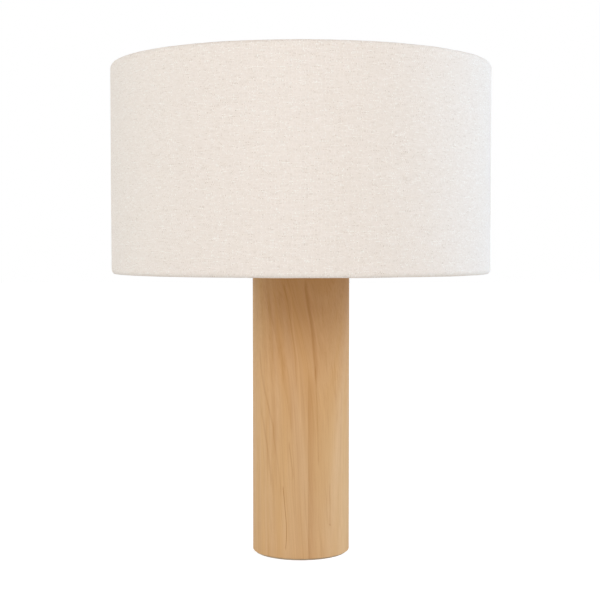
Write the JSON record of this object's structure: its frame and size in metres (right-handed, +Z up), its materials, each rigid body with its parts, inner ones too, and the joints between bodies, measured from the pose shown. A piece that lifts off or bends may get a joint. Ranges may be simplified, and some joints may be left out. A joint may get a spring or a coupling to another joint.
{
  "type": "table lamp",
  "caption": "Table lamp with a plain round wooden column, a fabric drum shade on a wire frame, and a screw lampholder with a turn switch and a bulb.",
  "frame": {"origin": "centre of the foot, on the surface that the lamp stands on", "axes": "+Z up along the column, +Y to the rear where the flex enters, -Y to the front where the switch's knob points, +X to the right seen from the front"},
  "size_m": [0.35, 0.3504, 0.45],
  "materials": {
    "felt": "pressed natural wool felt",
    "board": "bare hardboard",
    "steel": "zinc plated",
    "wood": "light softwood, sanded and matt oiled",
    "iron": "as cast",
    "brass": "turned, satin",
    "phenolic": "moulded black phenolic, half gloss",
    "white_wire": "white powder coat",
    "liner": "smooth cream lining sheet",
    "linen": "plain woven off-white linen with slubs",
    "bulb_metal": "bright",
    "bulb_plastic": "white, half gloss",
    "opal": "opal, satin"
  },
  "bodies": {
    "base": {"felt_pad": "felt", "base_cover": "board", "cover_screws": "steel", "column": "wood", "base_weight": "iron", "bottom_washer": "steel", "bottom_nut": "steel", "threaded_tube": "steel", "cord_bush": "brass", "top_washer": "brass", "lock_washer": "steel", "top_nut": "steel", "holder_cap": "phenolic", "neck_grub_screw": "steel", "holder_core": "phenolic", "terminal_screws": "steel", "centre_contact": "brass", "screw_shell": "brass", "holder_skirt": "phenolic"},
    "switch": {"switch_shaft": "brass", "switch_knob": "phenolic"},
    "ring_nut": {"shade_ring": "phenolic"},
    "shade": {"fitter_ring": "white_wire", "shade_arm_rear": "white_wire", "shade_arm_left": "white_wire", "shade_arm_right": "white_wire", "bottom_ring_wire": "white_wire", "top_ring_wire": "white_wire", "shade_liner": "liner", "shade_fabric": "linen"},
    "bulb": {"bulb_contact": "bulb_metal", "bulb_insulator": "phenolic", "bulb_cap": "bulb_metal", "bulb_housing": "bulb_plastic", "bulb_led_plate": "bulb_metal", "bulb_dome": "opal"}
  },
  "joints": [
    {"name": "shade_turn", "type": "hinge", "parent": "base", "child": "shade", "pos_m": [0, 0, 0.3055], "axis": [0, 0, 1], "continuous": true},
    {"name": "ring_nut_turn", "type": "hinge", "parent": "base", "child": "ring_nut", "pos_m": [0, 0, 0.3105], "axis": [0, 0, 1], "continuous": true},
    {"name": "switch_turn", "type": "hinge", "parent": "base", "child": "switch", "pos_m": [0, -0.0215, 0.293], "axis": [0, -1, 0], "continuous": true},
    {"name": "bulb_lift", "type": "slide", "parent": "base", "child": "bulb", "axis": [0, 0, 1], "range_m": [0, 0.17]}
  ]
}
